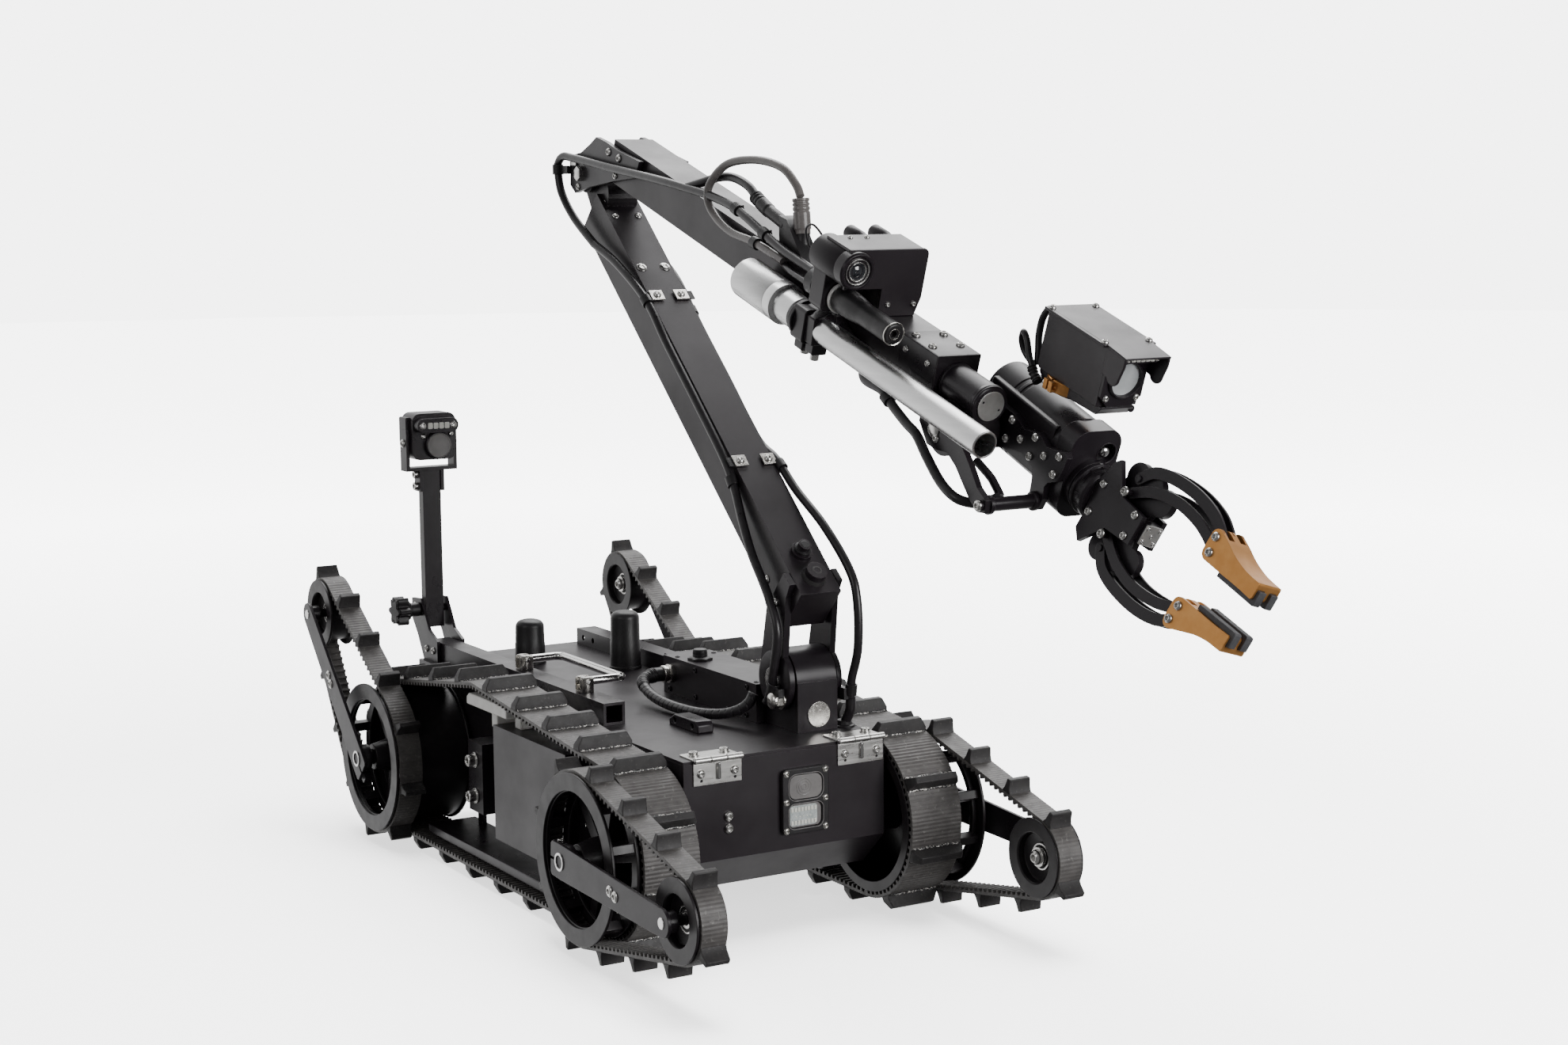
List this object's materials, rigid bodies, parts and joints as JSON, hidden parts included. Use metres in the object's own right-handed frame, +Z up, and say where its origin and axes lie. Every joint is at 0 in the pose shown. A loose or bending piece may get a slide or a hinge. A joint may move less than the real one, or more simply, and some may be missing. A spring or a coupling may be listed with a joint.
{
  "type": "tracked robot with arm and gripper",
  "caption": "Small tracked inspection robot: low hull on belts, paired track flippers, folding arm with angled gripper and cameras, barrel tool, fold-down camera mast and lid-mounted antennas.",
  "frame": {"origin": "on the ground under the hull's centreline, midway between the two drive axles", "axes": "+X towards the front, where the gripper points, +Y to the robot's left, +Z up"},
  "size_m": [1.2839, 0.443, 0.778],
  "materials": {
    "barrel_metal": "brushed",
    "battery_case": "matt",
    "black_anodised": "satin black anodised",
    "black_plastic": "matt",
    "black_rubber": "matt",
    "cable_black": "satin",
    "chrome": "polished",
    "circuit_board": "matt",
    "gold_anodised": "satin gold anodised",
    "stainless": "brushed",
    "white_plastic": "satin",
    "window": "gloss"
  },
  "bodies": {
    "hull": {"hull_tub": "black_anodised", "side_pods": "black_anodised", "battery_pack": "battery_case", "control_electronics": "circuit_board", "drive_gearmotors": "black_anodised", "main_track_right": "black_rubber", "main_track_left": "black_rubber", "track_guides": "white_plastic", "tensioner_plates": "black_anodised", "front_panel": "black_plastic", "panel_windows": "window", "hinge_lower_leaves": "stainless", "hull_fasteners": "stainless", "axle_hubs": "stainless"},
    "lid": {"lid_plate": "black_anodised", "hinge_upper_leaves": "stainless", "accessory_rails": "black_anodised", "antennas": "black_plastic", "shoulder_motor_box": "black_anodised", "shoulder_gearbox": "black_anodised", "mast_bracket": "black_anodised", "lid_fittings": "stainless", "base_cable": "cable_black"},
    "handle": {"carry_handle": "chrome"},
    "mast": {"mast_post": "black_anodised"},
    "mast_head": {"mast_camera": "black_anodised"},
    "pivot_knob": {"mast_knob": "black_plastic"},
    "wheel_fr": {"drive_wheel_fr": "black_anodised"},
    "wheel_fl": {"drive_wheel_fl": "black_anodised"},
    "wheel_rr": {"drive_wheel_rr": "black_anodised"},
    "wheel_rl": {"drive_wheel_rl": "black_anodised"},
    "front_flippers": {"front_flipper_arms": "black_anodised", "front_flipper_tracks": "black_rubber"},
    "rear_flippers": {"rear_flipper_arms": "black_anodised", "rear_flipper_tracks": "black_rubber"},
    "tip_fr": {"tip_wheel_fr": "black_anodised"},
    "tip_fl": {"tip_wheel_fl": "black_anodised"},
    "tip_rr": {"tip_wheel_rr": "black_anodised"},
    "tip_rl": {"tip_wheel_rl": "black_anodised"},
    "upper_arm": {"upper_arm": "black_anodised", "shoulder_plates": "black_anodised", "upper_arm_cables": "cable_black"},
    "forearm": {"forearm": "black_anodised", "elbow_plates": "black_anodised", "barrel": "barrel_metal", "barrel_clamp": "black_anodised", "aiming_camera": "black_anodised", "wrist_gearbox": "black_anodised", "forearm_cables": "cable_black"},
    "gripper": {"wrist_plates": "black_anodised", "gripper_housing": "black_anodised", "gripper_camera": "black_anodised", "camera_clamp": "gold_anodised"},
    "palm": {"palm_plates": "black_anodised"},
    "outer_upper": {"outer_link_upper": "black_anodised"},
    "inner_upper": {"inner_link_upper": "black_anodised"},
    "tip_upper": {"fingertip_upper": "gold_anodised"},
    "outer_lower": {"outer_link_lower": "black_anodised"},
    "inner_lower": {"inner_link_lower": "black_anodised"},
    "tip_lower": {"fingertip_lower": "gold_anodised"}
  },
  "joints": [
    {"name": "lid_open", "type": "hinge", "parent": "hull", "child": "lid", "pos_m": [0.3032, 0, 0.1876], "axis": [0, 1, 0], "range_deg": [0, 40]},
    {"name": "carry_handle", "type": "hinge", "parent": "lid", "child": "handle", "pos_m": [-0.0245, -0.089, 0.221], "axis": [1, 0, 0], "range_deg": [0, 90]},
    {"name": "mast_fold", "type": "hinge", "parent": "lid", "child": "mast", "pos_m": [-0.345, -0.089, 0.243], "axis": [0, -1, 0], "range_deg": [0, 90]},
    {"name": "mast_camera_tilt", "type": "hinge", "parent": "mast", "child": "mast_head", "pos_m": [-0.345, -0.089, 0.436], "axis": [0, 1, 0], "range_deg": [-25, 25]},
    {"name": "mast_knob_turn", "type": "hinge", "parent": "mast", "child": "pivot_knob", "pos_m": [-0.345, -0.089, 0.243], "axis": [0, 1, 0], "range_deg": [0, 360]},
    {"name": "rear_wheel_right", "type": "hinge", "parent": "hull", "child": "wheel_rr", "pos_m": [-0.257, -0.148, 0.098], "axis": [0, 1, 0], "continuous": true},
    {"name": "front_wheel_right", "type": "hinge", "parent": "hull", "child": "wheel_fr", "pos_m": [0.257, -0.148, 0.098], "axis": [0, 1, 0], "continuous": true},
    {"name": "front_tip_wheel_right", "type": "hinge", "parent": "front_flippers", "child": "tip_fr", "pos_m": [0.45781, -0.192, 0.08923], "axis": [0, 1, 0], "continuous": true},
    {"name": "rear_tip_wheel_right", "type": "hinge", "parent": "rear_flippers", "child": "tip_rr", "pos_m": [-0.39913, -0.192, 0.24013], "axis": [0, 1, 0], "continuous": true},
    {"name": "rear_wheel_left", "type": "hinge", "parent": "hull", "child": "wheel_rl", "pos_m": [-0.257, 0.148, 0.098], "axis": [0, 1, 0], "continuous": true},
    {"name": "front_wheel_left", "type": "hinge", "parent": "hull", "child": "wheel_fl", "pos_m": [0.257, 0.148, 0.098], "axis": [0, 1, 0], "continuous": true},
    {"name": "front_tip_wheel_left", "type": "hinge", "parent": "front_flippers", "child": "tip_fl", "pos_m": [0.45781, 0.192, 0.08923], "axis": [0, 1, 0], "continuous": true},
    {"name": "rear_tip_wheel_left", "type": "hinge", "parent": "rear_flippers", "child": "tip_rl", "pos_m": [-0.39913, 0.192, 0.24013], "axis": [0, 1, 0], "continuous": true},
    {"name": "front_flippers", "type": "hinge", "parent": "hull", "child": "front_flippers", "pos_m": [0.257, 0, 0.098], "axis": [0, -1, 0], "range_deg": [-60, 180]},
    {"name": "rear_flippers", "type": "hinge", "parent": "hull", "child": "rear_flippers", "pos_m": [-0.257, 0, 0.098], "axis": [0, -1, 0], "range_deg": [-135, 90]},
    {"name": "shoulder", "type": "hinge", "parent": "lid", "child": "upper_arm", "pos_m": [0.218, 0.066, 0.237], "axis": [0, -1, 0], "range_deg": [-45, 42]},
    {"name": "elbow", "type": "hinge", "parent": "upper_arm", "child": "forearm", "pos_m": [-0.19, 0.066, 0.739], "axis": [0, -1, 0], "range_deg": [-8, 150]},
    {"name": "wrist_pitch", "type": "hinge", "parent": "forearm", "child": "gripper", "pos_m": [0.5013, 0.066, 0.5084], "axis": [0, -1, 0], "range_deg": [-50, 25]},
    {"name": "gripper_roll", "type": "hinge", "parent": "gripper", "child": "palm", "pos_m": [0.6596, 0.1235, 0.4407], "axis": [0.9205, 0, -0.3907], "continuous": true},
    {"name": "gripper_open", "type": "hinge", "parent": "palm", "child": "outer_upper", "pos_m": [0.67046, 0.134, 0.47162], "axis": [0.1194, -0.9521, 0.2814], "range_deg": [-6.3, 30]},
    {"name": "upper_inner_link", "type": "hinge", "parent": "palm", "child": "inner_upper", "pos_m": [0.66733, 0.12985, 0.45891], "axis": [0.1194, -0.9521, 0.2814], "range_deg": [-6.3, 30]},
    {"name": "upper_fingertip", "type": "hinge", "parent": "outer_upper", "child": "tip_upper", "pos_m": [0.77453, 0.1355, 0.43252], "axis": [0.1194, -0.9521, 0.2814], "range_deg": [-30, 6.3]},
    {"name": "lower_outer_link", "type": "hinge", "parent": "palm", "child": "outer_lower", "pos_m": [0.6449, 0.113, 0.41141], "axis": [-0.1194, 0.9521, -0.2814], "range_deg": [-6.3, 30]},
    {"name": "lower_inner_link", "type": "hinge", "parent": "palm", "child": "inner_lower", "pos_m": [0.65187, 0.11715, 0.42249], "axis": [-0.1194, 0.9521, -0.2814], "range_deg": [-6.3, 30]},
    {"name": "lower_fingertip", "type": "hinge", "parent": "outer_lower", "child": "tip_lower", "pos_m": [0.74533, 0.1115, 0.36371], "axis": [-0.1194, 0.9521, -0.2814], "range_deg": [-30, 6.3]}
  ],
  "couplings": [
    {"joint": "front_wheel_right", "follows": "rear_wheel_right", "ratio": 1},
    {"joint": "front_tip_wheel_right", "follows": "rear_wheel_right", "ratio": 2.1391},
    {"joint": "rear_tip_wheel_right", "follows": "rear_wheel_right", "ratio": 2.1391},
    {"joint": "front_wheel_left", "follows": "rear_wheel_left", "ratio": 1},
    {"joint": "front_tip_wheel_left", "follows": "rear_wheel_left", "ratio": 2.1391},
    {"joint": "rear_tip_wheel_left", "follows": "rear_wheel_left", "ratio": 2.1391},
    {"joint": "upper_inner_link", "follows": "gripper_open", "ratio": 1},
    {"joint": "upper_fingertip", "follows": "gripper_open", "ratio": -1},
    {"joint": "lower_outer_link", "follows": "gripper_open", "ratio": 1},
    {"joint": "lower_inner_link", "follows": "gripper_open", "ratio": 1},
    {"joint": "lower_fingertip", "follows": "gripper_open", "ratio": -1}
  ]
}
